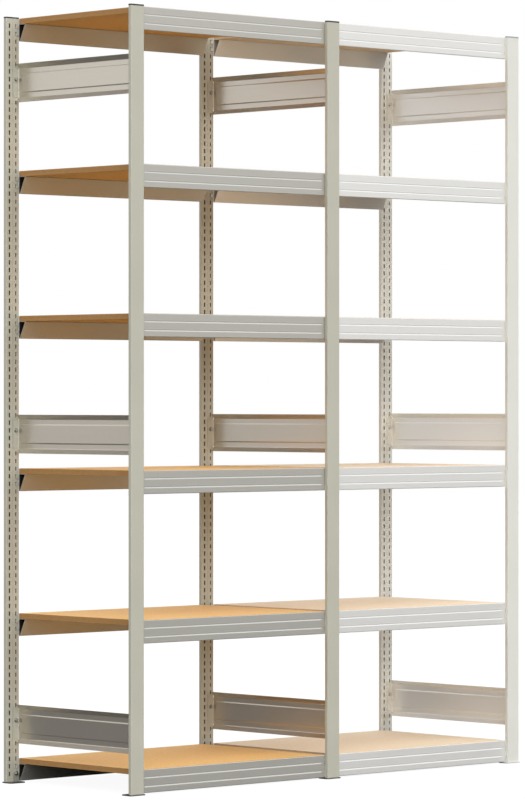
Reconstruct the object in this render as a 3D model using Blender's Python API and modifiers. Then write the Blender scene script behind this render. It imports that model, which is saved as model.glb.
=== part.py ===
import bpy
import bmesh
from math import cos, hypot, pi, radians, sin
from mathutils import Matrix, Vector

# Lengths are in metres. X runs along the width, Y from the front to the back, Z up from the floor.

# Layout: frames of posts stand side by side, with one bay of shelves between each two
frame_names = ("left", "middle", "right")
bay_names = ("left", "right")
bay_clear_width = 0.810
frame_depth = 0.632
contact_gap = 0.0003
cut_overrun = 0.002
weld_distance = 0.00001
sharp_angle = radians(35)

# Posts: a roll-formed C section, closed towards the outside, slotted on its two inner returns
post_length = 2.500
post_width = 0.055
post_depth = 0.014
post_wall = 0.0015
post_corner_radius = 0.0025
post_seam_gap = 0.002
corner_steps = 2
slot_pitch = 0.025
slot_width = 0.0045
slot_height = 0.0145
slot_row_inset = 0.014
slot_stride = 5

# Feet: a plate under each post with a rounded tab bolted to the post's lowest slot
foot_plate_thickness = 0.004
foot_plate_overhang = 0.0035
foot_plate_reach = 0.0415
foot_tab_width = 0.023
foot_tab_height = 0.034
foot_tab_thickness = 0.002
foot_tab_steps = 4
foot_slot = 1

# Caps: a plate pressed onto each post's top, with a plug that stands inside the section
cap_thickness = 0.0045
cap_seat_depth = 0.0005
cap_overhang = 0.0004
cap_corner_radius = 0.003
cap_plug_depth = 0.010
cap_plug_clearance = 0.0006

# Beams: a folded box section with a ledge for the deck, two pressed grooves and two hooks at each end.
# The lowest beams have only the upper hook, because the foot's tab lies over the slot of the lower one.
beam_height = 0.0735
beam_face_wall = 0.0028
beam_wall = 0.0015
beam_rim_thickness = 0.003
beam_ledge_depth = 0.033
beam_bottom_width = 0.005
beam_end_clearance = 0.001
beam_groove_depth = 0.0018
beam_groove_height = 0.006
beam_groove_end_inset = 0.020
beam_upper_groove_drop = 0.0247
beam_lower_groove_drop = 0.054
beam_foot_clearance = 0.0005
hook_count = 2
hook_arm_thickness = 0.0018
hook_arm_inset = 0.0003
hook_embed = 0.002
hook_thickness = 0.002
hook_side_clearance = 0.0002
hook_height = 0.009
hook_nose_drop = 0.005
hook_nose_length = 0.004
hook_nose_clearance = 0.0004
level_slot_shares = (0.02, 0.212, 0.404, 0.606, 0.798, 1.0)

# Decks: one board to each level of each bay, standing slightly above the beams' rims
deck_thickness = 0.018
deck_side_clearance = 0.001
deck_rim_clearance = 0.001
deck_rim_overstand = 0.0015

# Side panels: three pressed trays to each frame, bolted to its front and rear post
panel_names = ("lower", "middle", "upper")
panel_slot_shares = (0.08, 0.465, 0.93)
panel_height = 0.127
panel_sheet = 0.001
panel_flange_reach = 0.012
panel_flange_rise = 0.014
panel_side_inset = 0.001
panel_end_flange_width = 0.026
panel_bolt_rise = 0.012
emboss_edge_border = 0.017
emboss_edge_bevel = 0.003
emboss_end_border = 0.040
emboss_end_bevel = 0.022
emboss_rise = 0.0025

# Holes for the square-necked bolts that hold the panels and the feet
bolt_neck_width = 0.0036
bolt_hole_clearance = 0.0004

bay_pitch = bay_clear_width + post_width
row_offset = post_width / 2 - slot_row_inset
post_base = foot_plate_thickness + contact_gap
slot_count = round(post_length / slot_pitch) - 1
level_slots = [round(share * slot_count) for share in level_slot_shares]
panel_slots = [round(share * slot_count) for share in panel_slot_shares]
hook_rise = slot_pitch * level_slots[0] - beam_foot_clearance
ledge_height = beam_height + deck_rim_overstand - deck_thickness - contact_gap
beam_length = bay_clear_width - 2 * beam_end_clearance
inner_plane = post_depth + contact_gap

for thing in list(bpy.data.objects):
    bpy.data.objects.remove(thing)


def new_collection(name):
    group = bpy.data.collections.new(name)
    bpy.context.scene.collection.children.link(group)
    return group


shelving = new_collection("wide_span_shelving_unit")
cutters = new_collection("cutters")


def new_material(name, colour, roughness, metallic=0.0):
    material = bpy.data.materials.new(name)
    material.use_nodes = True
    shader = material.node_tree.nodes["Principled BSDF"]
    shader.inputs["Base Color"].default_value = (*colour, 1.0)
    shader.inputs["Roughness"].default_value = roughness
    shader.inputs["Metallic"].default_value = metallic
    return material


steel_coat = new_material("grey_beige_powder_coat", (0.50, 0.49, 0.41), 0.45)
beam_coat = new_material("light_grey_powder_coat", (0.45, 0.45, 0.42), 0.45)
board = new_material("particle_board", (0.60, 0.33, 0.13), 0.75)
black_plastic = new_material("black_plastic", (0.02, 0.02, 0.025), 0.5)
dark_steel = new_material("dark_zinc_steel", (0.10, 0.10, 0.09), 0.45, 0.8)


def slot_height_above_floor(number):
    return post_base + slot_pitch * number


def frame_x(index):
    return (index - (len(frame_names) - 1) / 2) * bay_pitch


def bay_x(index):
    return (index - (len(bay_names) - 1) / 2) * bay_pitch


def corner_arc(x, y, radius, start, steps):
    """Points of a quarter circle round (x, y) from the start angle, counterclockwise."""
    turns = [start + pi / 2 * i / steps for i in range(steps + 1)]
    return [(x + radius * cos(a), y + radius * sin(a)) for a in turns]


def mesh_of(thing):
    """The evaluated mesh of an object as new data, welded and with its faces pointing out."""
    graph = bpy.context.evaluated_depsgraph_get()
    mesh = bpy.data.meshes.new_from_object(thing.evaluated_get(graph))
    shape = bmesh.new()
    shape.from_mesh(mesh)
    bmesh.ops.remove_doubles(shape, verts=shape.verts, dist=weld_distance)
    bmesh.ops.recalc_face_normals(shape, faces=shape.faces)
    shape.to_mesh(mesh)
    shape.free()
    mesh.name = thing.name
    return mesh


def bake(thing):
    """Applies an object's modifiers and removes it, keeping the mesh that they made."""
    mesh = mesh_of(thing)
    bpy.data.objects.remove(thing)
    return mesh


def prism_mesh(name, outline, length, hole=()):
    """A flat outline in local XY, with an optional hole, extruded along local Z about its middle."""
    curve = bpy.data.curves.new(name, "CURVE")
    curve.dimensions = "2D"
    curve.fill_mode = "BOTH"
    curve.extrude = length / 2
    for loop in (outline, hole):
        if loop:
            spline = curve.splines.new("POLY")
            spline.points.add(len(loop) - 1)
            spline.use_cyclic_u = True
            for point, (x, y) in zip(spline.points, loop):
                point.co = (x, y, 0, 1)
    guide = bpy.data.objects.new(name, curve)
    cutters.objects.link(guide)
    return bake(guide)


def box_mesh(name, boxes):
    """Boxes as one mesh, each given by its middle and its size."""
    shape = bmesh.new()
    for middle, size in boxes:
        bmesh.ops.create_cube(shape, size=1, matrix=Matrix.LocRotScale(Vector(middle), None, Vector(size)))
    mesh = bpy.data.meshes.new(name)
    shape.to_mesh(mesh)
    shape.free()
    return mesh


def place(name, mesh, material, matrix=Matrix()):
    """A named piece of the unit that shows a mesh at a place."""
    if not mesh.materials:
        mesh.materials.append(material)
    mesh.shade_smooth()
    mesh.set_sharp_from_angle(angle=sharp_angle)
    piece = bpy.data.objects.new(name, mesh)
    piece.matrix_world = matrix
    shelving.objects.link(piece)
    return piece


def combine(piece, tool_mesh, operation, matrix=Matrix()):
    """Adds a Boolean modifier with a new cutter object to a piece."""
    tool = bpy.data.objects.new(piece.name + "_" + tool_mesh.name, tool_mesh)
    tool.matrix_world = matrix
    tool.hide_render = True
    tool.display_type = "WIRE"
    cutters.objects.link(tool)
    change = piece.modifiers.new(tool_mesh.name, "BOOLEAN")
    change.operation = operation
    change.solver = "EXACT"
    change.object = tool
    return change


def group_mesh(name, mesh, matrices):
    """Copies of one mesh at several places, as one mesh of separate solids."""
    shape = bmesh.new()
    for matrix in matrices:
        copy = mesh.copy()
        copy.transform(matrix)
        shape.from_mesh(copy)
        bpy.data.meshes.remove(copy)
    joined = bpy.data.meshes.new(name)
    shape.to_mesh(joined)
    shape.free()
    return joined


def bench(mesh):
    """An object on which a mesh is worked before it is shared by the pieces of the unit."""
    work = bpy.data.objects.new(mesh.name, mesh)
    cutters.objects.link(work)
    return work


def post_outline():
    side, radius, turn = post_width / 2, post_corner_radius, pi / 2
    left, right = -side + radius, side - radius
    inside, lip = side - post_wall, post_seam_gap / 2
    loop = [(lip, post_depth - post_wall), (inside, post_depth - post_wall), (inside, post_wall)]
    loop += [(-inside, post_wall), (-inside, post_depth - post_wall), (-lip, post_depth - post_wall)]
    loop += [(-lip, post_depth)]
    loop += corner_arc(left, post_depth - radius, radius, turn, corner_steps)
    loop += corner_arc(left, radius, radius, 2 * turn, corner_steps)
    loop += corner_arc(right, radius, radius, 3 * turn, corner_steps)
    loop += corner_arc(right, post_depth - radius, radius, 0, corner_steps)
    return loop + [(lip, post_depth)]


def slot_numbers():
    """The slots that are cut: every few along the row, and each one that holds a hook or a bolt."""
    regular = range(slot_stride, slot_count + 1, slot_stride)
    hooked = [slot - step for slot in level_slots for step in range(hook_count)]
    return sorted({*regular, *hooked, *panel_slots, foot_slot})


def make_cap_mesh():
    """A cap whose local origin is at the post's middle, level with its top."""
    side, deep = post_width / 2 + cap_overhang, post_depth / 2 + cap_overhang
    x, y, radius = side - cap_corner_radius, deep - cap_corner_radius, cap_corner_radius
    loop = []
    for turn, (sx, sy) in enumerate(((1, 1), (-1, 1), (-1, -1), (1, -1))):
        loop += corner_arc(sx * x, sy * y, radius, turn * pi / 2, 1)
    plate = prism_mesh("cap", loop, cap_thickness)
    plate.transform(Matrix.Translation((0, 0, cap_thickness / 2 - cap_seat_depth)))
    plate.materials.append(black_plastic)
    work = bench(plate)
    plug_width = post_width - 2 * (post_wall + cap_plug_clearance)
    plug_depth = post_depth - 2 * (post_wall + cap_plug_clearance)
    plug = box_mesh("plug", [((0, 0, -cap_plug_depth / 2), (plug_width, plug_depth, cap_plug_depth))])
    combine(work, plug, "UNION")
    return bake(work)


def make_post_mesh():
    section = prism_mesh("post", post_outline(), post_length)
    section.materials.append(steel_coat)
    work = bench(section)
    depth = post_wall + 2 * cut_overrun
    size = (slot_width, depth, slot_height)
    middle_y = post_depth - post_wall / 2
    rows = (-row_offset, row_offset)
    holes = [((x, middle_y, slot_pitch * n - post_length / 2), size) for n in slot_numbers() for x in rows]
    combine(work, box_mesh("slots", holes), "DIFFERENCE")
    top = Matrix.Translation((0, post_depth / 2, post_length / 2))
    cap = combine(work, make_cap_mesh(), "UNION", top)
    cap.material_mode = "TRANSFER"
    return bake(work)


def beam_outlines():
    """The folded section and its hollow: local X runs inward from the outer face and local Y up."""
    rise, run = ledge_height, beam_ledge_depth - beam_bottom_width
    slope = rise / run
    shift = beam_wall * hypot(rise, run) / rise
    low_x = beam_bottom_width - shift + beam_wall / slope
    high_x = beam_bottom_width - shift + (ledge_height - beam_wall) / slope
    section = [(0, 0), (beam_bottom_width, 0), (beam_ledge_depth, ledge_height)]
    section += [(beam_rim_thickness, ledge_height), (beam_rim_thickness, beam_height), (0, beam_height)]
    low_x = max(low_x, beam_face_wall + contact_gap)
    hollow = [(beam_face_wall, beam_wall), (low_x, beam_wall)]
    hollow += [(high_x, ledge_height - beam_wall), (beam_face_wall, ledge_height - beam_wall)]
    return section, hollow


def hook_outline(rise):
    """The prong that goes through a slot and hangs behind the post's wall, seen along the beam."""
    root = hook_arm_inset + hook_arm_thickness / 2
    wall_back = -(contact_gap + post_wall + hook_nose_clearance)
    tip = wall_back - hook_nose_length
    low = rise - slot_height / 2 + contact_gap
    high = low + hook_height
    nose = low - hook_nose_drop
    return [(root, low), (root, high), (tip, high), (tip, nose), (wall_back, nose), (wall_back, low)]


def make_beam_mesh(hooks):
    section, hollow = beam_outlines()
    work = bench(prism_mesh("beam", section, beam_length, hollow))
    groove = [(beam_groove_depth, 0), (-cut_overrun, beam_groove_height), (-cut_overrun, -beam_groove_height)]
    groove_length = beam_length - 2 * beam_groove_end_inset
    for name, drop in (("upper", beam_upper_groove_drop), ("lower", beam_lower_groove_drop)):
        tool = prism_mesh("groove_" + name, groove, groove_length)
        combine(work, tool, "DIFFERENCE", Matrix.Translation((0, beam_height - drop, 0)))
    half = beam_length / 2
    slot_edge = slot_row_inset - slot_width / 2
    reach = beam_end_clearance + slot_edge + hook_side_clearance + hook_thickness / 2
    arm_x = hook_arm_inset + hook_arm_thickness / 2
    arm_size = (hook_arm_thickness, hook_height, reach + hook_embed)
    ends = (-1, 1)
    for number in range(hooks):
        rise = hook_rise - slot_pitch * number
        arm_y = rise - slot_height / 2 + contact_gap + hook_height / 2
        arms = [((arm_x, arm_y, end * (half + (reach - hook_embed) / 2)), arm_size) for end in ends]
        combine(work, box_mesh(f"arms_{number}", arms), "UNION")
        prong = prism_mesh("prong", hook_outline(rise), hook_thickness)
        spots = [Matrix.Translation((0, 0, end * (half + reach))) for end in ends]
        combine(work, group_mesh(f"prongs_{number}", prong, spots), "UNION")
    return bake(work)


def make_deck_mesh():
    width = bay_clear_width - 2 * deck_side_clearance
    depth = frame_depth - 2 * (inner_plane + beam_rim_thickness + deck_rim_clearance)
    return box_mesh("deck", [((0, 0, deck_thickness / 2), (width, depth, deck_thickness))])


def make_panel_mesh():
    """A tray that opens to the left: local X is across the frame, Y along it, and Z up."""
    half_length = frame_depth / 2 - inner_plane
    half_web = panel_height / 2 - panel_flange_rise
    shape = bmesh.new()
    bmesh.ops.create_grid(shape, x_segments=1, y_segments=1, size=1)
    upright = Matrix(((0, 0, 1, 0), (half_length, 0, 0, 0), (0, half_web, 0, 0), (0, 0, 0, 1)))
    bmesh.ops.transform(shape, matrix=upright, verts=shape.verts)
    shape.normal_update()
    web = shape.faces[:]
    bmesh.ops.inset_region(shape, faces=web, thickness=emboss_edge_border, use_boundary=True)
    for vertex in web[0].verts:
        vertex.co.y = (half_length - emboss_end_border) * (1 if vertex.co.y > 0 else -1)
    bmesh.ops.inset_region(shape, faces=web, thickness=emboss_edge_bevel, use_boundary=True)
    for vertex in web[0].verts:
        vertex.co.x -= emboss_rise
        vertex.co.y = (half_length - emboss_end_border - emboss_end_bevel) * (1 if vertex.co.y > 0 else -1)
    for edge in [edge for edge in shape.edges if edge.is_boundary]:
        middle = (edge.verts[0].co + edge.verts[1].co) / 2
        across = abs(middle.z) < half_web / 2
        side = 1 if middle.z > 0 else -1
        new = bmesh.ops.extrude_edge_only(shape, edges=[edge])["geom"]
        ends = [v for v in new if isinstance(v, bmesh.types.BMVert)]
        move = (-panel_end_flange_width, 0, 0) if across else (-panel_flange_reach, 0, side * panel_flange_rise)
        bmesh.ops.translate(shape, verts=ends, vec=move)
    bmesh.ops.recalc_face_normals(shape, faces=shape.faces)
    if web[0].normal.x < 0:
        bmesh.ops.reverse_faces(shape, faces=shape.faces)
    mesh = bpy.data.meshes.new("side_panel")
    shape.to_mesh(mesh)
    shape.free()
    work = bench(mesh)
    sheet = work.modifiers.new("sheet", "SOLIDIFY")
    sheet.thickness = panel_sheet
    sheet.offset = -1
    sheet.use_even_offset = True
    width = bolt_neck_width + 2 * bolt_hole_clearance
    row_x = row_offset - (post_width / 2 - panel_side_inset)
    size = (width, panel_sheet + 2 * cut_overrun, width)
    holes = [((row_x, end * (half_length - panel_sheet / 2), panel_bolt_rise), size) for end in (-1, 1)]
    combine(work, box_mesh("bolt_holes", holes), "DIFFERENCE")
    return bake(work)


def make_foot_mesh(inward):
    """A foot for a front post, or with inward -1 for a rear one: local Y is 0 at the post's outer face."""
    width = post_width + 2 * foot_plate_overhang
    length = foot_plate_overhang + foot_plate_reach
    middle_y = inward * (foot_plate_reach - foot_plate_overhang) / 2
    plate = box_mesh("foot", [((0, middle_y, foot_plate_thickness / 2), (width, length, foot_plate_thickness))])
    work = bench(plate)
    radius = foot_tab_width / 2
    spring = foot_tab_height - radius
    tab = [(-radius, -foot_plate_thickness / 2), (radius, -foot_plate_thickness / 2)]
    turns = [pi * i / foot_tab_steps for i in range(foot_tab_steps + 1)]
    tab += [(radius * cos(a), spring + radius * sin(a)) for a in turns]
    tab_y = inward * (inner_plane + foot_tab_thickness / 2)
    upright = Matrix(((1, 0, 0, row_offset), (0, 0, -1, tab_y), (0, 1, 0, foot_plate_thickness), (0, 0, 0, 1)))
    combine(work, prism_mesh("tab", tab, foot_tab_thickness), "UNION", upright)
    width = bolt_neck_width + 2 * bolt_hole_clearance
    size = (width, foot_tab_thickness + 2 * cut_overrun, width)
    hole = ((row_offset, tab_y, slot_height_above_floor(foot_slot)), size)
    combine(work, box_mesh("bolt_hole", [hole]), "DIFFERENCE")
    return bake(work)


half_turn = Matrix.Rotation(pi, 4, "Z")
sides = (("front", 1, Matrix()), ("rear", -1, half_turn))

post_mesh = make_post_mesh()
for index, name in enumerate(frame_names):
    for side, inward, turn in sides:
        middle = Vector((frame_x(index), -inward * frame_depth / 2, post_base + post_length / 2))
        place("post_" + side + "_" + name, post_mesh, steel_coat, Matrix.Translation(middle) @ turn)

lowest_beam_mesh = make_beam_mesh(hook_count - 1)
beam_mesh = make_beam_mesh(hook_count)
along = Matrix(((0, 0, 1, 0), (1, 0, 0, 0), (0, 1, 0, 0), (0, 0, 0, 1)))
deck_mesh = make_deck_mesh()
for index, name in enumerate(bay_names):
    for level, slot in enumerate(level_slots, 1):
        bottom = slot_height_above_floor(slot) - hook_rise
        for side, inward, turn in sides:
            middle = Vector((bay_x(index), -inward * (frame_depth / 2 - inner_plane), bottom))
            matrix = Matrix.Translation(middle) @ turn @ along
            mesh = lowest_beam_mesh if slot == level_slots[0] else beam_mesh
            place(f"beam_{side}_{name}_{level}", mesh, beam_coat, matrix)
        deck_place = Matrix.Translation((bay_x(index), 0, bottom + ledge_height + contact_gap))
        place(f"deck_{name}_{level}", deck_mesh, board, deck_place)

panel_mesh = make_panel_mesh()
for index, name in enumerate(frame_names):
    x = frame_x(index) + post_width / 2 - panel_side_inset
    for level, slot in zip(panel_names, panel_slots):
        z = slot_height_above_floor(slot) - panel_bolt_rise
        place(f"side_panel_{name}_{level}", panel_mesh, beam_coat, Matrix.Translation((x, 0, z)))

for side, inward, turn in sides:
    foot_mesh = make_foot_mesh(inward)
    for index, name in enumerate(frame_names):
        spot = Matrix.Translation((frame_x(index), -inward * frame_depth / 2, 0))
        place(f"foot_{side}_{name}", foot_mesh, dark_steel, spot)
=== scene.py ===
# Wide span shelving unit: slotted steel posts, hooked-in box beams and particle board shelves in two bays.
# The right bay is the add-on bay, finished in a paler coat. Lengths are in metres.
from math import cos, hypot, pi, radians, sin

import bmesh
import bpy
from mathutils import Matrix, Vector


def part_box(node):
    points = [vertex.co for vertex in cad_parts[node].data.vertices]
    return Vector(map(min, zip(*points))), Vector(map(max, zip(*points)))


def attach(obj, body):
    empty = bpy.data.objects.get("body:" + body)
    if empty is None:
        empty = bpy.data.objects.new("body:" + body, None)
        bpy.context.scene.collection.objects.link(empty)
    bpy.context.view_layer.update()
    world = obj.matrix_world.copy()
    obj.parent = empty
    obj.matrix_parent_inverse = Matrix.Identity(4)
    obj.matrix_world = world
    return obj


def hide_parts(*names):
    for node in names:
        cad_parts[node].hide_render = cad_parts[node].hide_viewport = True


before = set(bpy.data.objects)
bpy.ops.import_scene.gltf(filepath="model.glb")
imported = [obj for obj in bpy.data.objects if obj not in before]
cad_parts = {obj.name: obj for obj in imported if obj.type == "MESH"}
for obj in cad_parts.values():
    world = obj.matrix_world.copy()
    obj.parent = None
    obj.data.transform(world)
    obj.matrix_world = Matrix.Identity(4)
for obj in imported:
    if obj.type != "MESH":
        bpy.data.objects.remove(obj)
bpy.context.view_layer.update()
print("frame loaded:", len(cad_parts), "nodes")

frameNames = ("left", "middle", "right")
bayNames = ("left", "right")
panelPlaces = ("lower", "middle", "upper")
levels = range(1, 7)
halfTurn = Matrix.Rotation(pi, 4, "Z")
near = 0.0001  # a point this close to a plane counts as lying on it

# Camera: level, left of the unit and in front of it, far off with a long lens
camera = {"place": (-9.573, -10.170, 1.258), "turn": -43.19, "lens": 186.75, "shiftY": -0.0016}
cameraData = bpy.data.cameras.new("camera")
cameraData.lens = camera["lens"]
cameraData.shift_y = camera["shiftY"]
cameraData.clip_end = 100
cameraObject = bpy.data.objects.new("camera", cameraData)
cameraObject.location = camera["place"]
cameraObject.rotation_euler = (radians(90), 0, radians(camera["turn"]))
bpy.context.scene.collection.objects.link(cameraObject)
bpy.context.scene.camera = cameraObject
bpy.context.scene.view_settings.view_transform = "Standard"


# Materials

def linear(hexColour):
    parts = [int(hexColour[i:i + 2], 16) / 255 for i in (1, 3, 5)]
    return (*[p / 12.92 if p <= 0.04045 else ((p + 0.055) / 1.055) ** 2.4 for p in parts], 1)


def addNode(tree, kind, settings=None, links=None):
    node = tree.nodes.new("ShaderNode" + kind)
    for name, value in (settings or {}).items():
        if name in node.inputs:
            node.inputs[name].default_value = value
        else:
            setattr(node, name, value)
    for name, (source, output) in (links or {}).items():
        tree.links.new(source.outputs[output], node.inputs[name])
    return node


def newMaterial(name):
    material = bpy.data.materials.new(name)
    material.use_nodes = True
    tree = material.node_tree
    return material, tree, tree.nodes["Principled BSDF"]


def setRamp(node, stops):
    ramp = node.color_ramp
    while len(ramp.elements) > 2:
        ramp.elements.remove(ramp.elements[-1])
    for index, (place, colour) in enumerate(stops):
        element = ramp.elements[index] if index < 2 else ramp.elements.new(place)
        element.position = place
        element.color = linear(colour) if isinstance(colour, str) else (colour, colour, colour, 1)
    return node


# Polyester powder coat, sprayed on rolled steel and baked: an even satin skin with a faint orange peel.
# The peel of a real coat is 1 mm across and under 0.05 mm deep. It is drawn 2.5 mm across, so that it shows.
def powderCoat(name, colour, deeper, roughness, peel=0.0025, peelDepth=0.00004, cloud=0.25):
    material, tree, shader = newMaterial(name)
    shader.inputs["IOR"].default_value = 1.5
    where = addNode(tree, "TexCoord")
    clouds = addNode(tree, "TexNoise", {"Scale": 1 / cloud, "Detail": 3.0}, {"Vector": (where, "Object")})
    tone = addNode(tree, "ValToRGB", {}, {"Fac": (clouds, "Fac")})
    setRamp(tone, ((0.35, deeper), (0.65, colour)))
    tree.links.new(tone.outputs["Color"], shader.inputs["Base Color"])
    sheen = addNode(tree, "MapRange", {"To Min": roughness - 0.05, "To Max": roughness + 0.05},
                    {"Value": (clouds, "Fac")})
    tree.links.new(sheen.outputs["Result"], shader.inputs["Roughness"])
    skin = addNode(tree, "TexNoise", {"Scale": 1 / peel, "Detail": 2.0}, {"Vector": (where, "Object")})
    bump = addNode(tree, "Bump", {"Strength": 0.6, "Distance": peelDepth}, {"Height": (skin, "Fac")})
    tree.links.new(bump.outputs["Normal"], shader.inputs["Normal"])
    return material


# Sanded particle board: flat chips of 2 to 8 mm, lightly toned apart, with resin dark specks between them.
# The sanding leaves it dull, so that it hardly mirrors the white room even at a low angle.
def particleBoard(name, tones, speck, chip=0.0045, roughness=0.85):
    material, tree, shader = newMaterial(name)
    shader.inputs["IOR"].default_value = 1.48
    where = addNode(tree, "TexCoord")
    wander = addNode(tree, "TexNoise", {"Scale": 0.6 / chip, "Detail": 2.0}, {"Vector": (where, "Object")})
    bent = addNode(tree, "Mix", {"data_type": "VECTOR", "Factor": 0.004},
                   {"A": (where, "Object"), "B": (wander, "Color")})
    chips = addNode(tree, "TexVoronoi", {"Scale": 1 / chip, "Randomness": 1.0}, {"Vector": (bent, "Result")})
    pick = addNode(tree, "SeparateColor", {}, {"Color": (chips, "Color")})
    chipTone = addNode(tree, "ValToRGB", {}, {"Fac": (pick, "Red")})
    setRamp(chipTone, tuple((i / (len(tones) - 1), tone) for i, tone in enumerate(tones)))
    dust = addNode(tree, "TexNoise", {"Scale": 3 / chip, "Detail": 4.0, "Roughness": 0.7},
                   {"Vector": (where, "Object")})
    specks = addNode(tree, "MapRange", {"From Min": 0.62, "From Max": 0.74}, {"Value": (dust, "Fac")})
    specked = addNode(tree, "Mix", {"data_type": "RGBA"},
                      {"Factor": (specks, "Result"), "A": (chipTone, "Color")})
    specked.inputs["B"].default_value = linear(speck)
    tree.links.new(specked.outputs["Result"], shader.inputs["Base Color"])
    shader.inputs["Roughness"].default_value = roughness
    bump = addNode(tree, "Bump", {"Strength": 0.5, "Distance": 0.0001}, {"Height": (dust, "Fac")})
    tree.links.new(bump.outputs["Normal"], shader.inputs["Normal"])
    return material


# Sawn edge of particle board: coarse chips and open pores in the core, finer and denser near both faces
def boardEdge(name, tones, pore, chip=0.003):
    material, tree, shader = newMaterial(name)
    where = addNode(tree, "TexCoord")
    flat = addNode(tree, "Mapping", {"Scale": (1.0, 1.0, 2.2)}, {"Vector": (where, "Object")})
    chips = addNode(tree, "TexVoronoi", {"Scale": 1 / chip}, {"Vector": (flat, "Vector")})
    pick = addNode(tree, "SeparateColor", {}, {"Color": (chips, "Color")})
    chipTone = addNode(tree, "ValToRGB", {}, {"Fac": (pick, "Red")})
    setRamp(chipTone, tuple((i / (len(tones) - 1), tone) for i, tone in enumerate(tones)))
    pores = addNode(tree, "TexNoise", {"Scale": 1.3 / chip, "Detail": 3.0}, {"Vector": (flat, "Vector")})
    height = addNode(tree, "SeparateXYZ", {}, {"Vector": (where, "Object")})
    distance = addNode(tree, "Math", {"operation": "ABSOLUTE"}, {"Value": (height, "Z")})
    core = addNode(tree, "MapRange", {"From Min": 0.0075, "From Max": 0.0035}, {"Value": (distance, "Value")})
    openPores = addNode(tree, "MapRange", {"From Min": 0.56, "From Max": 0.66}, {"Value": (pores, "Fac")})
    both = addNode(tree, "Math", {"operation": "MULTIPLY"})
    tree.links.new(core.outputs["Result"], both.inputs[0])
    tree.links.new(openPores.outputs["Result"], both.inputs[1])
    dark = addNode(tree, "Mix", {"data_type": "RGBA"}, {"Factor": (both, "Value"), "A": (chipTone, "Color")})
    dark.inputs["B"].default_value = linear(pore)
    tree.links.new(dark.outputs["Result"], shader.inputs["Base Color"])
    shader.inputs["Roughness"].default_value = 0.8
    bump = addNode(tree, "Bump", {"Strength": 0.8, "Distance": 0.0004, "invert": True},
                   {"Height": (both, "Value")})
    tree.links.new(bump.outputs["Normal"], shader.inputs["Normal"])
    return material


# Polypropylene, injection moulded with a fine spark-eroded grain: black or grey with a soft dull shine
def mouldedPlastic(name, colour, deeper, grain=0.0008):
    material, tree, shader = newMaterial(name)
    shader.inputs["Roughness"].default_value = 0.5
    shader.inputs["IOR"].default_value = 1.49
    where = addNode(tree, "TexCoord")
    noise = addNode(tree, "TexNoise", {"Scale": 1 / grain, "Detail": 1.0}, {"Vector": (where, "Object")})
    tone = addNode(tree, "ValToRGB", {}, {"Fac": (noise, "Fac")})
    setRamp(tone, ((0.35, deeper), (0.65, colour)))
    tree.links.new(tone.outputs["Color"], shader.inputs["Base Color"])
    bump = addNode(tree, "Bump", {"Strength": 0.4, "Distance": 0.00005}, {"Height": (noise, "Fac")})
    tree.links.new(bump.outputs["Normal"], shader.inputs["Normal"])
    return material


# Zinc plate on steel, bright for the bolts, passivated dark for the foot plates: a cloudy, uneven metal
def zincPlate(name, colour, deeper, roughness, cloud=0.012):
    material, tree, shader = newMaterial(name)
    shader.inputs["Metallic"].default_value = 1.0
    where = addNode(tree, "TexCoord")
    clouds = addNode(tree, "TexNoise", {"Scale": 1 / cloud, "Detail": 4.0}, {"Vector": (where, "Object")})
    tone = addNode(tree, "ValToRGB", {}, {"Fac": (clouds, "Fac")})
    setRamp(tone, ((0.3, deeper), (0.7, colour)))
    tree.links.new(tone.outputs["Color"], shader.inputs["Base Color"])
    rough = addNode(tree, "MapRange", {"To Min": roughness - 0.08, "To Max": roughness + 0.08},
                    {"Value": (clouds, "Fac")})
    tree.links.new(rough.outputs["Result"], shader.inputs["Roughness"])
    return material


# Powder coat with aluminium flakes, sprayed and baked: a satin silver grey that mirrors the room softly.
# Flakes of a real coat are under 0.1 mm. They are drawn 1.5 mm across and shift the shine only slightly.
def aluminiumCoat(name, colour, deeper, metallic, roughness, flake=0.0015):
    material, tree, shader = newMaterial(name)
    shader.inputs["Metallic"].default_value = metallic
    where = addNode(tree, "TexCoord")
    flakes = addNode(tree, "TexVoronoi", {"Scale": 1 / flake}, {"Vector": (where, "Object")})
    pick = addNode(tree, "SeparateColor", {}, {"Color": (flakes, "Color")})
    tone = addNode(tree, "ValToRGB", {}, {"Fac": (pick, "Red")})
    setRamp(tone, ((0.0, deeper), (1.0, colour)))
    tree.links.new(tone.outputs["Color"], shader.inputs["Base Color"])
    rough = addNode(tree, "MapRange", {"To Min": roughness - 0.03, "To Max": roughness + 0.03},
                    {"Value": (pick, "Green")})
    tree.links.new(rough.outputs["Result"], shader.inputs["Roughness"])
    return material


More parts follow.
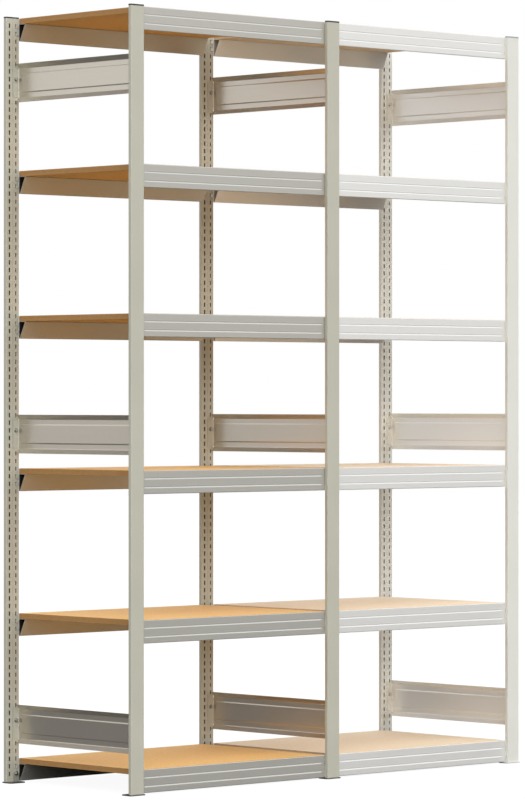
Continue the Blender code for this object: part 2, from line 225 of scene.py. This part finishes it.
boardTones = ("#EDB86A", "#F0BF74", "#F2C37C", "#F5CA86", "#EEBB6F")
boardPaleTones = ("#F3DAB8", "#F5DEBE", "#F7E2C5", "#F9E6CC", "#F4DCBB")
looks = {
    "postCoat": powderCoat("greyBeigePowderCoat", "#C9C7B7", "#C5C3B3", 0.45),
    "postCoatPale": powderCoat("paleBeigePowderCoat", "#EFEEE5", "#EBEAE1", 0.45),
    "beamCoat": aluminiumCoat("silverGreyCoat", "#C4C2BA", "#BFBDB5", 0.5, 0.36),
    "beamCoatPale": aluminiumCoat("paleSilverCoat", "#F0EFEB", "#ECEBE7", 0.4, 0.38),
    # Painted highlight: a lighter, less metallic coat along the beams' rim and the lower slopes of their
    # grooves, for the glint of light there
    "beamHighlight": aluminiumCoat("paintedHighlightSilver", "#DFDED8", "#D9D8D2", 0.1, 0.4),
    "beamHighlightPale": aluminiumCoat("palePaintedHighlightSilver", "#FAFAF8", "#F7F7F5", 0.1, 0.4),
    "panelCoat": aluminiumCoat("silverSheetCoat", "#D6CFC3", "#D2CBBF", 0.85, 0.32),
    "panelCoatPale": aluminiumCoat("paleSheetCoat", "#FDFDFB", "#FAFAF8", 0.5, 0.38),
    # Painted shade: the hollows inside the posts and beams are coloured near black, light grey in the right
    # bay, where shade falls in them
    "paintedShadeInside": powderCoat("paintedShadeHollow", "#2B2823", "#231F1A", 0.6),
    "paintedShadeInsidePale": powderCoat("palePaintedShadeHollow", "#CFCDC5", "#C6C4BC", 0.6),
    "boardFace": particleBoard("sandedParticleBoard", boardTones, "#D09A55"),
    "boardFacePale": particleBoard("paleParticleBoard", boardPaleTones, "#E6CBA8"),
    "boardEdge": boardEdge("sawnBoardEdge", ("#B4844C", "#BC8C54", "#C4965E"), "#8E6339"),
    "boardEdgePale": boardEdge("paleSawnBoardEdge", ("#D6B48C", "#E0C29C", "#E8CDAB"), "#A98A66"),
    "capPlastic": mouldedPlastic("blackPolypropylene", "#1B1C1F", "#161719"),
    "capPlasticPale": mouldedPlastic("greyPolypropylene", "#B0B1B2", "#A6A7A8"),
    "footSteel": zincPlate("darkZincPlate", "#8E8F88", "#767770", 0.42),
    "footSteelPale": powderCoat("palePaintedFoot", "#E6E5E0", "#E0DFDA", 0.5),
    "footTab": powderCoat("greyBeigeFootTab", "#A6A497", "#A09E91", 0.45),
    "footTabPale": powderCoat("paleBeigeFootTab", "#E6E5DE", "#E0DFD8", 0.45),
    "boltZinc": zincPlate("brightZincPlate", "#B4B5B0", "#9C9D98", 0.42),
    "boltZincPale": zincPlate("paleBrightZincPlate", "#E3E3E0", "#D6D6D3", 0.42),
}
print("materials made:", len(looks))


# Mesh helpers

def meshFrom(shape, name, sharp=35):
    bmesh.ops.remove_doubles(shape, verts=shape.verts, dist=0.00002)
    bmesh.ops.recalc_face_normals(shape, faces=shape.faces)
    mesh = bpy.data.meshes.new(name)
    shape.to_mesh(mesh)
    shape.free()
    mesh.shade_smooth()
    mesh.set_sharp_from_angle(angle=radians(sharp))
    return mesh


def applied(thing, name, sharp=35):
    graph = bpy.context.evaluated_depsgraph_get()
    mesh = bpy.data.meshes.new_from_object(thing.evaluated_get(graph))
    old = [thing.data] + [m.object.data for m in thing.modifiers if m.type == "BOOLEAN"]
    for tool in [m.object for m in thing.modifiers if m.type == "BOOLEAN"]:
        bpy.data.objects.remove(tool)
    bpy.data.objects.remove(thing)
    for data in old:
        if isinstance(data, bpy.types.Mesh):
            bpy.data.meshes.remove(data)
    shape = bmesh.new()
    shape.from_mesh(mesh)
    bpy.data.meshes.remove(mesh)
    return meshFrom(shape, name, sharp)


def prism(name, loops, length):  # outlines in X and Y, extruded along Z about the middle
    curve = bpy.data.curves.new(name, "CURVE")
    curve.dimensions = "2D"
    curve.fill_mode = "BOTH"
    curve.extrude = length / 2
    for loop in loops:
        spline = curve.splines.new("POLY")
        spline.points.add(len(loop) - 1)
        spline.use_cyclic_u = True
        for point, (x, y) in zip(spline.points, loop):
            point.co = (x, y, 0, 1)
    guide = bpy.data.objects.new(name, curve)
    bpy.context.scene.collection.objects.link(guide)
    mesh = applied(guide, name)
    bpy.data.curves.remove(curve)
    return mesh


# A quarter turn, counterclockwise, with a point beside it on each flat
def arc(x, y, radius, start, steps, beside=0.0):
    turns = [start + pi / 2 * i / steps for i in range(steps + 1)]
    curve = [(x + radius * cos(a), y + radius * sin(a)) for a in turns]
    if beside:
        first, last = curve[0], curve[-1]
        curve.insert(0, (first[0] + beside * sin(start), first[1] - beside * cos(start)))
        curve.append((last[0] - beside * cos(start), last[1] - beside * sin(start)))
    return curve


def roundedBox(width, height, radius, steps):
    right, top = width / 2 - radius, height / 2 - radius
    corners = ((right, top), (-right, top), (-right, -top), (right, -top))
    return [point for turn, (x, y) in enumerate(corners) for point in arc(x, y, radius, turn * pi / 2, steps)]


def joined(name, meshes):
    shape = bmesh.new()
    for mesh, matrix in meshes:
        copy = mesh.copy()
        copy.transform(matrix)
        shape.from_mesh(copy)
        bpy.data.meshes.remove(copy)
    return meshFrom(shape, name)


def cut(base, tool, name):
    thing = bpy.data.objects.new(name, base)
    cutter = bpy.data.objects.new(name + "Tool", tool)
    for each in (thing, cutter):
        bpy.context.scene.collection.objects.link(each)
    change = thing.modifiers.new("cut", "BOOLEAN")
    change.operation = "DIFFERENCE"
    change.solver = "EXACT"
    change.object = cutter
    return applied(thing, name)


def secondLook(mesh, isSecond):  # a hollow (in painted shade), a tab or a flange takes the piece's second look
    for face in mesh.polygons:
        face.material_index = 1 if isSecond(face.center, face.normal) else 0
    return mesh


def steepEdges(shape):  # the edges where faces meet at a steep angle
    return [e for e in shape.edges if len(e.link_faces) == 2 and e.calc_face_angle(0) > 1]


def edgesBroken(mesh, name, offset):
    shape = bmesh.new()
    shape.from_mesh(mesh)
    bmesh.ops.bevel(shape, geom=steepEdges(shape), offset=offset, segments=1, affect="EDGES")
    return meshFrom(shape, name)


def piece(name, mesh, look, matrix, nodes=()):
    data = mesh.copy()
    for each in ([look] if isinstance(look, str) else look):
        data.materials.append(looks[each])
    thing = bpy.data.objects.new(name, data)
    thing.matrix_world = matrix
    bpy.context.scene.collection.objects.link(thing)
    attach(thing, "root")
    if nodes:
        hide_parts(*nodes)


def endings(name):  # the right frame and the right bay have paler looks, and slots of their own
    return ("Pale", "_pale") if name == "right" else ("", "")


# Posts: cold-rolled C sections, plain outside, with two rows of slots on the inner returns
post = {"width": 0.055, "depth": 0.014, "wall": 0.0015, "length": 2.5, "base": 0.0043, "corner": 0.0025,
        "seam": 0.0004, "steps": 4, "beside": 0.0004, "pitch": 0.025, "slots": 99, "rowInset": 0.014,
        "rows": ((-1, 0.0043, 0.0138), (1, 0.0056, 0.0150)), "slotCorner": 0.0011}  # side, slot width, height
innerFace = 0.0143  # from a post's outer side to where beams, panels and feet lie against it
halfDepth = {"front": -0.316, "rear": 0.316}
sides = (("front", 1, Matrix()), ("rear", -1, halfTurn))
frameX = {name: sum(c[0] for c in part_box("post_front_" + name)) / 2 for name in frameNames}


def postMesh():
    side, r, wall, deep = post["width"] / 2, post["corner"], post["wall"], post["depth"]
    lip, inner, steps, q = post["seam"] / 2, post["corner"] - post["wall"], post["steps"], pi / 2
    loop = [(lip, deep - wall)]
    loop += [(side - r + inner * cos(a), deep - r + inner * sin(a)) for a in (q, q / 2, 0)]
    loop += [(side - r + inner * cos(a), r - inner * sin(a)) for a in (0, q / 2, q)]
    loop += [(r - side - inner * cos(a), r - inner * sin(a)) for a in (q, q / 2, 0)]
    loop += [(r - side - inner * cos(a), deep - r + inner * sin(a)) for a in (0, q / 2, q)]
    loop += [(-lip, deep - wall), (-lip, deep)]
    for x, y, start in ((r - side, deep - r, q), (r - side, r, 2 * q),
                        (side - r, r, 3 * q), (side - r, deep - r, 0)):
        loop += arc(x, y, r, start, steps, post["beside"])
    loop += [(lip, deep)]
    body = prism("post", [loop], post["length"])
    stand = Matrix.Rotation(radians(90), 4, "X")
    row = post["width"] / 2 - post["rowInset"]
    tallest = max(height for way, width, height in post["rows"])
    holes = []
    for way, width, height in post["rows"]:  # the slots of both rows end at the same lower edge
        hole = prism("slot", [roundedBox(width, height, post["slotCorner"], 2)], 3 * wall)
        for n in range(post["slots"]):
            middle = post["pitch"] * (n + 1) - post["length"] / 2 - (tallest - height) / 2
            holes.append((hole, Matrix.Translation((way * row, deep - wall / 2, middle)) @ stand))
    mesh = cut(body, joined("slots", holes), "slottedPost")

    def isShadedHollow(c, n):  # the inside of the section, without the slots' own rims; it takes the painted shade
        within = abs(c.x) < side - wall + near and wall - near < c.y < deep - wall + near
        return within and abs(n.z) < 0.5 and not (c.y > deep - wall - near and abs(n.y) < 0.5)

    return secondLook(mesh, isShadedHollow)


# Caps: plugs moulded in plastic, pressed onto the posts, with a small chamfer round the top
cap = {"thickness": 0.0045, "seat": 0.0005, "proud": 0.0004, "corner": 0.003, "chamfer": 0.0009}


def capMesh():
    width, deep = post["width"] + 2 * cap["proud"], post["depth"] + 2 * cap["proud"]
    plate = prism("cap", [roundedBox(width, deep, cap["corner"], 4)], cap["thickness"])
    plate.transform(Matrix.Translation((0, 0, cap["thickness"] / 2 - cap["seat"])))
    shape = bmesh.new()
    shape.from_mesh(plate)
    top = cap["thickness"] - cap["seat"]
    rim = [e for e in steepEdges(shape) if all(v.co.z > top - near for v in e.verts)]
    bmesh.ops.bevel(shape, geom=rim, offset=cap["chamfer"], segments=2, affect="EDGES", profile=0.6)
    return meshFrom(shape, "cap")


# Bolts: hexagon head with a washer, the head towards the inside of the frame
bolt = {"headAcross": 0.010, "headHeight": 0.004, "washerRadius": 0.0075, "washerThickness": 0.0012,
        "washerSides": 28, "washerTaper": 0.0002, "crown": 0.0007, "crownWidth": 0.86}


def boltMesh():
    shape = bmesh.new()
    thick, high = bolt["washerThickness"], bolt["headHeight"]
    bmesh.ops.create_cone(shape, cap_ends=True, segments=bolt["washerSides"], radius1=bolt["washerRadius"],
                          radius2=bolt["washerRadius"] - bolt["washerTaper"], depth=thick,
                          matrix=Matrix.Translation((0, 0, thick / 2)))
    corner = bolt["headAcross"] / 2 / cos(pi / 6)
    steps = ((thick, corner), (thick + high - bolt["crown"], corner),
             (thick + high, corner * bolt["crownWidth"]))
    rings = [[shape.verts.new((r * cos(pi / 3 * i), r * sin(pi / 3 * i), z)) for i in range(6)]
             for z, r in steps]
    for lower, upper in zip(rings, rings[1:]):
        for i in range(6):
            shape.faces.new((lower[i], lower[(i + 1) % 6], upper[(i + 1) % 6], upper[i]))
    shape.faces.new(rings[-1])
    shape.faces.new(rings[0][::-1])
    return meshFrom(shape, "bolt")


postData, capData, boltData = postMesh(), capMesh(), boltMesh()
for side, inward, turn in sides:
    for name in frameNames:
        ending, slotEnding = endings(name)
        middle = Matrix.Translation((frameX[name], halfDepth[side], post["base"] + post["length"] / 2))
        piece(f"slottedPost_{side}_{name}", postData, ("postCoat" + ending, "paintedShadeInside" + ending),
              middle @ turn, [f"post_{side}_{name}"])
        top = Matrix.Translation((frameX[name], halfDepth[side] + inward * post["depth"] / 2,
                                  post["base"] + post["length"]))
        piece(f"cap_{side}_{name}", capData, "capPlastic" + ending, top)
print("posts and caps made")


# Beams: folded sheet with a hem along the rim, a ledge for the board, a slanted back and two pressed grooves
beam = {"height": 0.0743, "rim": 0.003, "ledge": 0.0567, "depth": 0.033, "foot": 0.005, "length": 0.8122,
        "shoulder": 0.404, "skin": 0.0018, "sheet": 0.0015, "fold": 0.0022, "footFold": 0.0016,
        "ledgeFold": 0.0008, "hem": 0.00145, "highlightBand": 0.0015, "hollowFrom": 0.0016,
        "hollowMargin": 0.001, "hookFrom": -0.0005}
grooves = {"middles": (0.0503, 0.0222), "depth": 0.0013, "rise": 0.0008, "fall": 0.0037, "round": 0.0004,
           "lowRound": 0.0010, "fadeDepth": 0.0015, "end": 0.0155, "ramp": 0.005, "slopeFrom": 0.00002,
           "slopeReach": 0.0049}
hooks = {"arm": 0.0013, "inset": 0.0003, "height": 0.009, "reach": 0.01495, "thickness": 0.002,
         "root": 0.003, "drop": 0.005, "nose": 0.004, "behind": 0.0022, "rises": (0.04255, 0.01755),
         "rounds": (0, 0.001, 0.002, 0.0015, 0.0005, 0.0005)}
roundBeside = 0.0003  # a point this far beside a round keeps the flat shaded flat


def filleted(corners, steps=3):  # corners are (x, y, how far the round reaches along each side)
    loop = []
    for index, (x, y, reach) in enumerate(corners):
        if not reach:
            loop.append((x, y))
            continue
        here = Vector((x, y))
        before, after = Vector(corners[index - 1][:2]), Vector(corners[(index + 1) % len(corners)][:2])
        back, on = (before - here).normalized(), (after - here).normalized()
        start, end = here + back * reach, here + on * reach
        curve = [start * (1 - t) ** 2 + here * 2 * t * (1 - t) + end * t ** 2 for t in
                 (step / steps for step in range(steps + 1))]
        if (before - here).length > 3 * reach:
            curve.insert(0, start + back * roundBeside)
        if (after - here).length > 3 * reach:
            curve.append(end + on * roundBeside)
        loop += [tuple(point) for point in curve]
    return loop


lean = (beam["depth"] - beam["foot"]) / beam["ledge"]  # how much deeper the slanted back gets to each height


def backDepth(height):  # how far back the slanted back stands at a height
    return beam["foot"] + height * lean


def beamBody():
    fold, wall, rim, ledge, deep = beam["fold"], beam["sheet"], beam["rim"], beam["ledge"], beam["depth"]
    top, hem, skin = beam["height"], beam["hem"], beam["skin"]
    corners = [(0, 0, fold), (beam["foot"], 0, beam["footFold"]), (deep, ledge, fold),
               (rim, ledge, beam["ledgeFold"]), (rim, top, hem), (0, top, hem)]
    for middle in grooves["middles"]:
        corners += [(0, middle + grooves["rise"], grooves["round"]),
                    (grooves["depth"], middle, grooves["round"]),
                    (0, middle - grooves["fall"], grooves["lowRound"])]
    within = [backDepth(height) - wall * hypot(1, lean) for height in (wall, ledge - wall)]
    inside = [(skin, wall), (within[0], wall), (within[1], ledge - wall), (skin, ledge - wall)]
    body = prism("beam", [filleted(corners), inside], beam["length"])
    shape = bmesh.new()
    shape.from_mesh(body)
    stop, ramp = beam["length"] / 2 - grooves["end"], grooves["ramp"]
    for place in (-stop, -stop + ramp, stop - ramp, stop):
        everything = shape.verts[:] + shape.edges[:] + shape.faces[:]
        bmesh.ops.bisect_plane(shape, geom=everything, plane_co=(0, 0, place), plane_no=(0, 0, 1))
    for vertex in shape.verts:  # the grooves run out before the ends
        x, y, z = vertex.co
        inGroove = any(abs(y - middle) < grooves["fall"] for middle in grooves["middles"])
        if abs(z) > stop - near and x < grooves["fadeDepth"] and inGroove:
            vertex.co.x = 0
    return meshFrom(shape, "beamBody")


def beamMesh(hookCount):
    parts = [(beamBody(), Matrix())]
    end, half, wall, ledge = beam["shoulder"], beam["length"] / 2, beam["sheet"], beam["ledge"]
    inset, arm, reach = hooks["inset"], hooks["arm"], hooks["reach"] - hooks["thickness"] / 2
    for low in hooks["rises"][:hookCount]:
        high, behind, drop = low + hooks["height"], -hooks["behind"], low - hooks["drop"]
        tip, root = behind - hooks["nose"], inset + arm / 2
        outline = [(root, low), (root, high), (tip, high), (tip, drop), (behind, drop), (behind, low)]
        claw = [(x, y, each) for (x, y), each in zip(outline, hooks["rounds"])]
        prong = prism("prong", [filleted(claw)], hooks["thickness"])
        strip = prism("arm", [[(inset, low), (inset + arm, low), (inset + arm, high), (inset, high)]],
                      reach + hooks["root"])
        for sign in (-1, 1):
            parts.append((prong, Matrix.Translation((0, 0, sign * (end + reach)))))
            parts.append((strip, Matrix.Translation((0, 0, sign * (end + (reach - hooks["root"]) / 2)))))

    # the inside of the box, coloured dark as painted shade
    def isShadedHollow(c, n):
        between = beam["hollowFrom"] < c.x < backDepth(c.y) - beam["hollowMargin"]
        return between and wall - near < c.y < ledge - wall + near and abs(c.z) < half - near

    mesh = secondLook(joined("foldedBeam", parts), isShadedHollow)
    for face in mesh.polygons:  # hooks in the posts' coat; the rim and the lower groove slopes get a painted highlight, a lighter and less metallic coat
        x, y, z = face.center
        inSlopeHighlight = grooves["slopeFrom"] < x < grooves["depth"] and \
            any(0 < middle - y < grooves["slopeReach"] for middle in grooves["middles"])
        inRimHighlight = y > beam["height"] - beam["highlightBand"] and x < beam["rim"] and abs(z) < end
        if abs(z) > half + near or x < beam["hookFrom"]:
            face.material_index = 2
        elif inSlopeHighlight or inRimHighlight:
            face.material_index = 3
    return mesh


# Boards: cut to lie in the ledges, the arrises just broken by sanding
board = {"width": 0.812, "depth": 0.5954, "thickness": 0.018, "arris": 0.0005, "sharp": 20}


def boardMesh():
    shape = bmesh.new()
    size = (board["width"], board["depth"], board["thickness"])
    bmesh.ops.create_cube(shape, size=1, matrix=Matrix.Diagonal((*size, 1)))
    bmesh.ops.bevel(shape, geom=shape.edges[:], offset=board["arris"], segments=1, affect="EDGES")
    mesh = meshFrom(shape, "board", board["sharp"])
    return secondLook(mesh, lambda c, n: abs(n.z) <= 0.9)  # the sawn edges


beamData, lowBeamData, boardData = beamMesh(2), beamMesh(1), boardMesh()
along = Matrix(((0, 0, 1, 0), (1, 0, 0, 0), (0, 1, 0, 0), (0, 0, 0, 1)))
for name in bayNames:
    ending, slotEnding = endings(name)
    beamLooks = [each + ending for each in ("beamCoat", "paintedShadeInside", "postCoat", "beamHighlight")]
    for level in levels:
        low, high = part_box(f"deck_{name}_{level}")
        middle = (low + high) / 2
        piece(f"board_{name}_{level}", boardData, ("boardFace" + ending, "boardEdge" + ending),
              Matrix.Translation(middle), [f"deck_{name}_{level}"])
        for side, inward, turn in sides:
            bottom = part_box(f"beam_{side}_{name}_{level}")[0].z
            outer = halfDepth[side] + inward * innerFace
            spot = Matrix.Translation((middle.x, outer, bottom)) @ turn @ along
            piece(f"foldedBeam_{side}_{name}_{level}", lowBeamData if level == 1 else beamData, beamLooks,
                  spot, [f"beam_{side}_{name}_{level}"])
print("beams and boards made")


# Side panels: trays pressed from 1 mm sheet, a raised field in the web, slanted edges, a flange at each end
panel = {"halfLength": 0.3017, "halfWeb": 0.0495, "reach": 0.012, "rise": 0.014, "endFlange": 0.026,
         "border": 0.017, "bevel": 0.004, "bevelSteps": 4, "endBorder": 0.012, "endBevel": 0.008,
         "endSteps": 8, "beside": 0.0005, "profileGap": 0.001, "emboss": 0.0011, "fold": 0.0025,
         "sheet": 0.001, "flangeDepth": 0.0011, "boltRise": 0.012, "sharp": 40}


def eased(value):
    value = min(1, max(0, value))
    return value * value * (3 - 2 * value)


def panelMesh():
    half, web, fold, beside = panel["halfLength"], panel["halfWeb"], panel["fold"], panel["beside"]
    reach, top, field = panel["reach"], web + panel["rise"], web - panel["border"]
    profile = filleted([(-reach, -top, 0), (0, -web, fold), (0, web, fold), (-reach, top, 0)], 4)
    heights = [field - panel["bevel"] * i / panel["bevelSteps"] for i in range(panel["bevelSteps"] + 1)]
    heights += [field - panel["bevel"] - beside, field + beside]
    heights = sorted([-height for height in heights] + heights + [0.0])
    profile = [point for point in profile if point[1] < -field - panel["profileGap"]] + \
              [(0.0, height) for height in heights] + \
              [point for point in profile if point[1] > field + panel["profileGap"]]
    ends = [half - panel["endBorder"] - panel["endBevel"] * i / panel["endSteps"]
            for i in range(panel["endSteps"] + 1)]
    ends += [ends[0] + beside, ends[-1] - beside]
    stations = sorted([-half + fold, half - fold, 0.0] + [-e for e in ends] + ends)
    shape = bmesh.new()

    def lift(y, z):
        across = eased((field - abs(z)) / panel["bevel"])
        lengthwise = eased((half - panel["endBorder"] - abs(y)) / panel["endBevel"])
        return panel["emboss"] * across * lengthwise

    rows = [[shape.verts.new((x - lift(y, z), y, z)) for x, z in profile] for y in stations]
    for first, second in zip(rows, rows[1:]):
        for i in range(len(profile) - 1):
            shape.faces.new((first[i], second[i], second[i + 1], first[i + 1]))
    moves = [(-fold * (1 - cos(a)), fold * sin(a)) for a in (pi / 8, pi / 4, 3 * pi / 8, pi / 2)]
    moves.append((-panel["endFlange"], fold))
    for sign, row in ((-1, rows[0]), (1, rows[-1])):  # the end flanges, folded back along the post
        line = [v for v in row if abs(v.co.z) <= web - fold + near]
        last = line
        for back, out in moves:
            new = [shape.verts.new((back, sign * (half - fold + out), v.co.z)) for v in line]
            for i in range(len(line) - 1):
                shape.faces.new((last[i], new[i], new[i + 1], last[i + 1]))
            last = new
    bmesh.ops.recalc_face_normals(shape, faces=shape.faces)
    middle = min(shape.faces, key=lambda f: f.calc_center_median().length)
    if middle.normal.x < 0:
        bmesh.ops.reverse_faces(shape, faces=shape.faces)
    mesh = bpy.data.meshes.new("panelSheet")
    shape.to_mesh(mesh)
    shape.free()
    thing = bpy.data.objects.new("panelSheet", mesh)
    bpy.context.scene.collection.objects.link(thing)
    sheet = thing.modifiers.new("sheet", "SOLIDIFY")
    sheet.thickness = panel["sheet"]
    sheet.offset = -1
    sheet.use_even_offset = True
    mesh = applied(thing, "pressedPanel", panel["sharp"])
    return secondLook(mesh, lambda c, n: abs(c.y) > half - panel["flangeDepth"] and abs(n.y) > 0.7)


# Feet: a plate under the post, with a rounded tab that is bolted to the lowest slot
foot = {"over": 0.0035, "reach": 0.0415, "thickness": 0.004, "corner": 0.003, "broken": 0.0005,
        "tabWidth": 0.023, "tabHeight": 0.034, "tabThickness": 0.002, "tabX": 0.0135, "tabSink": 0.001,
        "tabSteps": 20, "tabBroken": 0.0003, "boltHeight": 0.0293}


def footMesh():
    width, length = post["width"] + 2 * foot["over"], foot["over"] + foot["reach"]
    plate = prism("plate", [roundedBox(width, length, foot["corner"], 4)], foot["thickness"])
    radius = foot["tabWidth"] / 2
    spring = foot["tabHeight"] - radius
    turns = [pi * i / foot["tabSteps"] for i in range(foot["tabSteps"] + 1)]
    outline = [(-radius, -foot["tabSink"]), (radius, -foot["tabSink"])]
    outline += [(radius * cos(a), spring + radius * sin(a)) for a in turns]
    tab = prism("tab", [outline], foot["tabThickness"])
    return edgesBroken(plate, "plate", foot["broken"]), edgesBroken(tab, "tab", foot["tabBroken"])


panelData = panelMesh()
plateData, tabData = footMesh()
upright = Matrix(((1, 0, 0, 0), (0, 0, -1, 0), (0, 1, 0, 0), (0, 0, 0, 1)))
for name in frameNames:
    ending, slotEnding = endings(name)
    panelSpots = {}
    for place in panelPlaces:
        low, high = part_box(f"side_panel_{name}_{place}")
        panelSpots[place] = (high.x, 0, (low.z + high.z) / 2)
    for side, inward, turn in sides:
        x, y = frameX[name], halfDepth[side]
        thick = foot["tabThickness"]
        parts = [(plateData, Matrix.Translation((0, inward * (foot["reach"] - foot["over"]) / 2,
                                                 foot["thickness"] / 2))),
                 (tabData, Matrix.Translation((foot["tabX"], inward * (innerFace + thick / 2),
                                               foot["thickness"])) @ upright)]
        data = secondLook(joined("foot", parts), lambda c, n: c.z > foot["thickness"] + near)
        piece(f"footPlate_{side}_{name}", data, ("footSteel" + ending, "footTab" + ending),
              Matrix.Translation((x, y, 0)), [f"foot_{side}_{name}"])
        facing = Matrix(((1, 0, 0, 0), (0, 0, inward, 0), (0, -inward, 0, 0), (0, 0, 0, 1)))
        boltSpots = {"foot": (foot["boltHeight"], thick)}
        for place in panelPlaces:
            boltSpots[place] = (panelSpots[place][2] + panel["boltRise"], panel["sheet"])
        for place, (height, under) in boltSpots.items():
            spot = Matrix.Translation((x + foot["tabX"], y + inward * (innerFace + under), height))
            piece(f"bolt_{side}_{name}_{place}", boltData, "boltZinc" + ending, spot @ facing)
    for place in panelPlaces:
        piece(f"pressedPanel_{name}_{place}", panelData, ("panelCoat" + ending, "postCoat" + ending),
              Matrix.Translation(panelSpots[place]),
              [f"side_panel_{name}_{place}"])
print("panels, feet and bolts made")

# Floor and light: a white studio, brighter from above, with a large far lamp high at the front, a soft box
# high on the left and a larger one behind the unit on the right
studio = {"floorSize": 60, "floorDrop": 0.0002, "cardDrop": 0.0001, "floorGlow": 0.94, "floorGrey": 0.10,
          "sky": 0.80, "horizon": 0.50, "ground": 0.12}


def square(height):
    half = studio["floorSize"] / 2
    return [(-half, -half, height), (half, -half, height), (half, half, height), (-half, half, height)]


floorMesh = bpy.data.meshes.new("floor")
floorMesh.from_pydata(square(0), [], [(0, 1, 2, 3)])
floorObject = bpy.data.objects.new("floor", floorMesh)
floorObject.location.z = -studio["floorDrop"]
bpy.context.scene.collection.objects.link(floorObject)
floorPaint, tree, shader = newMaterial("whiteStudioFloor")
tree.nodes.remove(shader)
output = tree.nodes["Material Output"]
matt = addNode(tree, "BsdfDiffuse", {"Color": (studio["floorGrey"],) * 3 + (1,)})
rays = addNode(tree, "LightPath")


def seenRays(tree, rays):  # camera, glossy and transmission rays, which all see the studio white
    some = addNode(tree, "Math", {"operation": "MAXIMUM"})
    tree.links.new(rays.outputs["Is Camera Ray"], some.inputs[0])
    tree.links.new(rays.outputs["Is Glossy Ray"], some.inputs[1])
    every = addNode(tree, "Math", {"operation": "MAXIMUM"})
    tree.links.new(some.outputs["Value"], every.inputs[0])
    tree.links.new(rays.outputs["Is Transmission Ray"], every.inputs[1])
    return every


seen = seenRays(tree, rays)
strength = addNode(tree, "Math", {"operation": "MULTIPLY"})
tree.links.new(seen.outputs["Value"], strength.inputs[0])
strength.inputs[1].default_value = studio["floorGlow"]
glow = addNode(tree, "Emission", {"Color": (1, 1, 1, 1)}, {"Strength": (strength, "Value")})
together = addNode(tree, "AddShader")
tree.links.new(matt.outputs["BSDF"], together.inputs[0])
tree.links.new(glow.outputs["Emission"], together.inputs[1])
tree.links.new(together.outputs["Shader"], output.inputs["Surface"])
floorMesh.materials.append(floorPaint)

# Grey cards, which only reflections meet: one on the floor, a low one and a high one behind the unit. The
# satin metal shows them below the horizon, in the lowest panels and in the panels' lower flanges.
cards = {
    "floorCard": (0.08, square(-studio["cardDrop"])),
    "lowCard": (0.10, ((-8, 3.2, 0), (8, 3.2, 0), (8, 3.2, 0.8), (-8, 3.2, 0.8))),
    "highCard": (0.22, ((-14, 10, 7.6), (14, 10, 7.6), (14, 8, 24), (-14, 8, 24))),
}


def greyCard(name, grey, corners):
    mesh = bpy.data.meshes.new(name)
    mesh.from_pydata(corners, [], [(0, 1, 2, 3)])
    card = bpy.data.objects.new(name, mesh)
    card.visible_camera = card.visible_shadow = card.visible_diffuse = False
    bpy.context.scene.collection.objects.link(card)
    paint, tree, shader = newMaterial(name)
    shader.inputs["Base Color"].default_value = (grey,) * 3 + (1,)
    shader.inputs["Roughness"].default_value = 0.9
    mesh.materials.append(paint)


for name, (grey, corners) in cards.items():
    greyCard(name, grey, corners)

world = bpy.data.worlds.new("studio")
bpy.context.scene.world = world
world.use_nodes = True
tree = world.node_tree
plain = tree.nodes["Background"]
plain.inputs["Color"].default_value = (1, 1, 1, 1)
plain.inputs["Strength"].default_value = 1
where = addNode(tree, "TexCoord")
split = addNode(tree, "SeparateXYZ", {}, {"Vector": (where, "Generated")})
height = addNode(tree, "MapRange", {"From Min": -1.0, "From Max": 1.0}, {"Value": (split, "Z")})
ramp = setRamp(addNode(tree, "ValToRGB", {}, {"Fac": (height, "Result")}),
               ((0.0, studio["ground"]), (0.5, studio["horizon"]), (1.0, studio["sky"])))
soft = addNode(tree, "Background", {"Strength": 1.0}, {"Color": (ramp, "Color")})
seen = seenRays(tree, addNode(tree, "LightPath"))
choose = addNode(tree, "MixShader", {}, {"Fac": (seen, "Value")})
tree.links.new(soft.outputs["Background"], choose.inputs[1])
tree.links.new(plain.outputs["Background"], choose.inputs[2])
tree.links.new(choose.outputs["Shader"], tree.nodes["World Output"].inputs["Surface"])

lamps = {
    "frontKey": {"kind": "SUN", "turn": (0.30, 1.0, -0.72), "energy": 2.02, "angle": 80},
    "leftBox": {"kind": "AREA", "place": (-6.0, 0.5, 3.4), "target": (-0.5, 0, 1.6), "energy": 28,
                "size": (3.0, 3.0)},
    "backBox": {"kind": "AREA", "place": (3.4, 4.7, 3.2), "target": (-0.2, 0, 0.4), "energy": 100,
                "size": (6.0, 4.0)},
}


def addLamp(name, settings):
    lamp = bpy.data.lights.new(name, settings["kind"])
    lamp.energy = settings["energy"]
    thing = bpy.data.objects.new(name, lamp)
    if settings["kind"] == "SUN":
        lamp.angle = radians(settings["angle"])
        turn = Vector(settings["turn"])
    else:
        lamp.shape = "RECTANGLE"
        lamp.size, lamp.size_y = settings["size"]
        thing.location = settings["place"]
        turn = Vector(settings["target"]) - Vector(settings["place"])
        thing.visible_camera = False
    thing.rotation_euler = turn.to_track_quat("-Z", "Y").to_euler()
    bpy.context.scene.collection.objects.link(thing)


for name, settings in lamps.items():
    addLamp(name, settings)
print("floor and light made")
